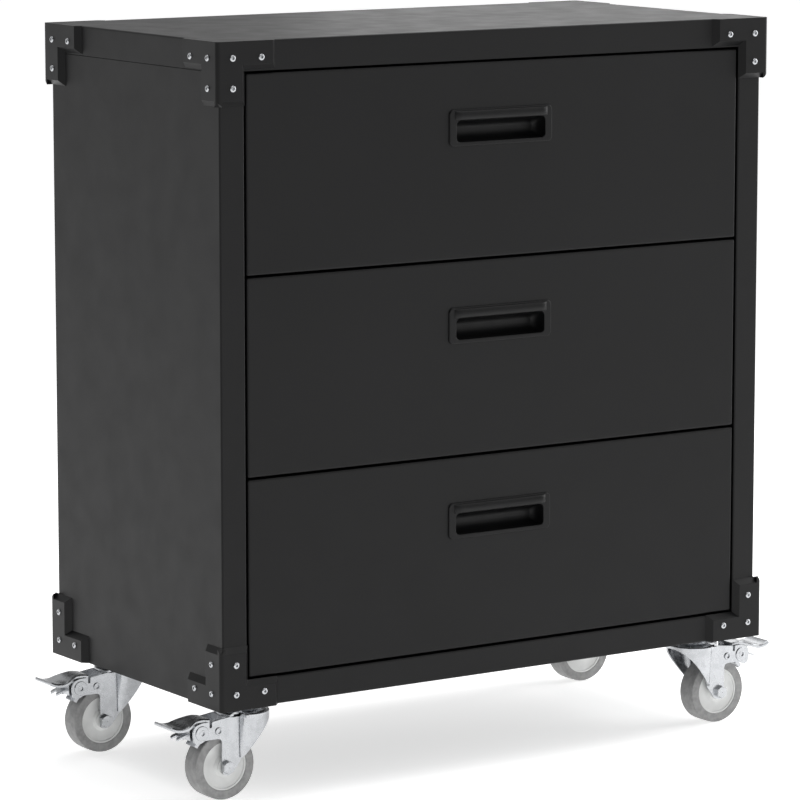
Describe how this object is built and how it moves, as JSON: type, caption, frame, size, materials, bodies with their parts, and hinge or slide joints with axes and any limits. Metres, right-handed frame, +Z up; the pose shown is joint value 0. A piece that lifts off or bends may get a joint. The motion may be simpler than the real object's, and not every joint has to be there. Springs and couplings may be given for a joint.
{
  "type": "rolling tool chest",
  "caption": "Upright steel tool chest with full-width drawers, recessed cup handles, bevelled corner brackets and braked swivel casters.",
  "frame": {"origin": "on the floor, under the middle of the chest", "axes": "+Z up, -Y towards the person who opens the drawers, +X to that person's right"},
  "size_m": [0.863, 0.3992, 0.874],
  "materials": {
    "cabinet_paint": "satin black powder coat",
    "bracket_paint": "satin black powder coat",
    "screw_zinc": "bright zinc plating",
    "slide_zinc": "zinc plated steel strip",
    "caster_zinc": "bright zinc plated pressing",
    "handle_plastic": "satin black moulding",
    "tyre_rubber": "matt grey rubber",
    "wheel_plastic": "satin pale grey moulding"
  },
  "bodies": {
    "cabinet": {"top_panel": "cabinet_paint", "left_side_panel": "cabinet_paint", "right_side_panel": "cabinet_paint", "back_panel": "cabinet_paint", "bottom_panel": "cabinet_paint", "rear_posts": "cabinet_paint", "bracket_front_left_top": "bracket_paint", "bracket_front_right_top": "bracket_paint", "bracket_rear_left_top": "bracket_paint", "bracket_rear_right_top": "bracket_paint", "bracket_front_left_bottom": "bracket_paint", "bracket_front_right_bottom": "bracket_paint", "bracket_rear_left_bottom": "bracket_paint", "bracket_rear_right_bottom": "bracket_paint", "bracket_screws": "screw_zinc", "cabinet_slides": "slide_zinc", "caster_stems": "caster_zinc", "caster_nuts": "screw_zinc"},
    "drawer_1": {"drawer_front_1": "cabinet_paint", "drawer_tray_1": "cabinet_paint", "drawer_handle_1": "handle_plastic", "drawer_slides_1": "slide_zinc"},
    "middle_slide_1": {"middle_slides_1": "slide_zinc"},
    "drawer_2": {"drawer_front_2": "cabinet_paint", "drawer_tray_2": "cabinet_paint", "drawer_handle_2": "handle_plastic", "drawer_slides_2": "slide_zinc"},
    "middle_slide_2": {"middle_slides_2": "slide_zinc"},
    "drawer_3": {"drawer_front_3": "cabinet_paint", "drawer_tray_3": "cabinet_paint", "drawer_handle_3": "handle_plastic", "drawer_slides_3": "slide_zinc"},
    "middle_slide_3": {"middle_slides_3": "slide_zinc"},
    "caster_front_left": {"fork_front_left": "caster_zinc", "axle_bolt_front_left": "screw_zinc", "fork_rivets_front_left": "screw_zinc"},
    "wheel_front_left": {"tyre_front_left": "tyre_rubber", "wheel_hub_front_left": "wheel_plastic"},
    "pedal_front_left": {"brake_pedal_front_left": "caster_zinc"},
    "caster_front_right": {"fork_front_right": "caster_zinc", "axle_bolt_front_right": "screw_zinc", "fork_rivets_front_right": "screw_zinc"},
    "wheel_front_right": {"tyre_front_right": "tyre_rubber", "wheel_hub_front_right": "wheel_plastic"},
    "pedal_front_right": {"brake_pedal_front_right": "caster_zinc"},
    "caster_rear_left": {"fork_rear_left": "caster_zinc", "axle_bolt_rear_left": "screw_zinc", "fork_rivets_rear_left": "screw_zinc"},
    "wheel_rear_left": {"tyre_rear_left": "tyre_rubber", "wheel_hub_rear_left": "wheel_plastic"},
    "pedal_rear_left": {"brake_pedal_rear_left": "caster_zinc"},
    "caster_rear_right": {"fork_rear_right": "caster_zinc", "axle_bolt_rear_right": "screw_zinc", "fork_rivets_rear_right": "screw_zinc"},
    "wheel_rear_right": {"tyre_rear_right": "tyre_rubber", "wheel_hub_rear_right": "wheel_plastic"},
    "pedal_rear_right": {"brake_pedal_rear_right": "caster_zinc"}
  },
  "joints": [
    {"name": "drawer_1_slide", "type": "slide", "parent": "cabinet", "child": "drawer_1", "axis": [0, -1, 0], "range_m": [0, 0.32]},
    {"name": "middle_1_slide", "type": "slide", "parent": "cabinet", "child": "middle_slide_1", "axis": [0, -1, 0], "range_m": [0, 0.16]},
    {"name": "drawer_2_slide", "type": "slide", "parent": "cabinet", "child": "drawer_2", "axis": [0, -1, 0], "range_m": [0, 0.32]},
    {"name": "middle_2_slide", "type": "slide", "parent": "cabinet", "child": "middle_slide_2", "axis": [0, -1, 0], "range_m": [0, 0.16]},
    {"name": "drawer_3_slide", "type": "slide", "parent": "cabinet", "child": "drawer_3", "axis": [0, -1, 0], "range_m": [0, 0.32]},
    {"name": "middle_3_slide", "type": "slide", "parent": "cabinet", "child": "middle_slide_3", "axis": [0, -1, 0], "range_m": [0, 0.16]},
    {"name": "swivel_front_left", "type": "hinge", "parent": "cabinet", "child": "caster_front_left", "pos_m": [-0.3265, -0.141, 0.114], "axis": [0, 0, 1], "continuous": true},
    {"name": "wheel_front_left_spin", "type": "hinge", "parent": "caster_front_left", "child": "wheel_front_left", "pos_m": [-0.3565, -0.141, 0.0395], "axis": [0, 1, 0], "continuous": true},
    {"name": "brake_front_left", "type": "hinge", "parent": "caster_front_left", "child": "pedal_front_left", "pos_m": [-0.3895, -0.141, 0.083], "axis": [0, -1, 0], "range_deg": [0, 8.5]},
    {"name": "swivel_front_right", "type": "hinge", "parent": "cabinet", "child": "caster_front_right", "pos_m": [0.3265, -0.141, 0.114], "axis": [0, 0, 1], "continuous": true},
    {"name": "wheel_front_right_spin", "type": "hinge", "parent": "caster_front_right", "child": "wheel_front_right", "pos_m": [0.3565, -0.141, 0.0395], "axis": [0, 1, 0], "continuous": true},
    {"name": "brake_front_right", "type": "hinge", "parent": "caster_front_right", "child": "pedal_front_right", "pos_m": [0.3895, -0.141, 0.083], "axis": [0, 1, 0], "range_deg": [0, 8.5]},
    {"name": "swivel_rear_left", "type": "hinge", "parent": "cabinet", "child": "caster_rear_left", "pos_m": [-0.3265, 0.141, 0.114], "axis": [0, 0, 1], "continuous": true},
    {"name": "wheel_rear_left_spin", "type": "hinge", "parent": "caster_rear_left", "child": "wheel_rear_left", "pos_m": [-0.3565, 0.141, 0.0395], "axis": [0, 1, 0], "continuous": true},
    {"name": "brake_rear_left", "type": "hinge", "parent": "caster_rear_left", "child": "pedal_rear_left", "pos_m": [-0.3895, 0.141, 0.083], "axis": [0, -1, 0], "range_deg": [0, 8.5]},
    {"name": "swivel_rear_right", "type": "hinge", "parent": "cabinet", "child": "caster_rear_right", "pos_m": [0.3265, 0.141, 0.114], "axis": [0, 0, 1], "continuous": true},
    {"name": "wheel_rear_right_spin", "type": "hinge", "parent": "caster_rear_right", "child": "wheel_rear_right", "pos_m": [0.3565, 0.141, 0.0395], "axis": [0, 1, 0], "continuous": true},
    {"name": "brake_rear_right", "type": "hinge", "parent": "caster_rear_right", "child": "pedal_rear_right", "pos_m": [0.3895, 0.141, 0.083], "axis": [0, 1, 0], "range_deg": [0, 8.5]}
  ],
  "couplings": [
    {"joint": "middle_1_slide", "follows": "drawer_1_slide", "ratio": 0.5},
    {"joint": "middle_2_slide", "follows": "drawer_2_slide", "ratio": 0.5},
    {"joint": "middle_3_slide", "follows": "drawer_3_slide", "ratio": 0.5}
  ]
}
